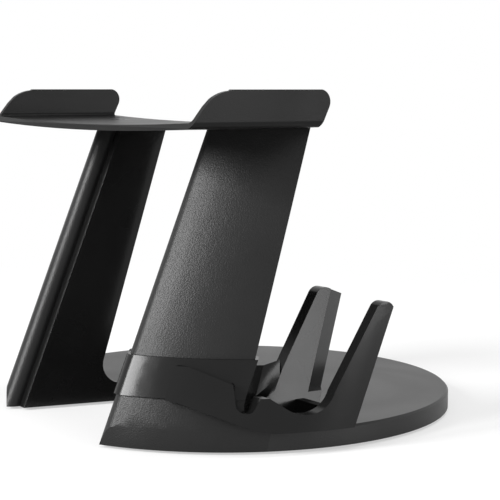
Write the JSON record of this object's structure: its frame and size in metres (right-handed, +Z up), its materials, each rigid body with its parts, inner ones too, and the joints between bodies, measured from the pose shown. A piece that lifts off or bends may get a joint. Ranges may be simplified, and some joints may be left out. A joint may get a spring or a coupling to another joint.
{
  "type": "vr headset stand",
  "caption": "Round-based stand with two leaning legs, a bowed tray with side ears for a headset, and a clip-on cradle for a controller.",
  "frame": {"origin": "on the ground under the centre of the round base", "axes": "+Z up, -Y the way the headset looks, +X towards the leg that carries the controller holder"},
  "size_m": [0.1837, 0.1712, 0.1282],
  "materials": {
    "base_plastic": "smooth satin black moulding",
    "leg_plastic": "fine grained satin black moulding",
    "gloss_skin": "polished black moulding",
    "tray_plastic": "satin black moulding",
    "holder_plastic": "half-gloss black moulding",
    "screw_steel": "plain plated steel",
    "pad_rubber": "matt black rubber"
  },
  "bodies": {
    "root": {"base_disc": "base_plastic", "leg_left": "leg_plastic", "leg_right": "leg_plastic", "inner_skin": "gloss_skin", "tray": "tray_plastic", "controller_holder": "holder_plastic", "tray_screws": "screw_steel", "foot_screws": "screw_steel", "rubber_pads": "pad_rubber"}
  },
  "joints": []
}
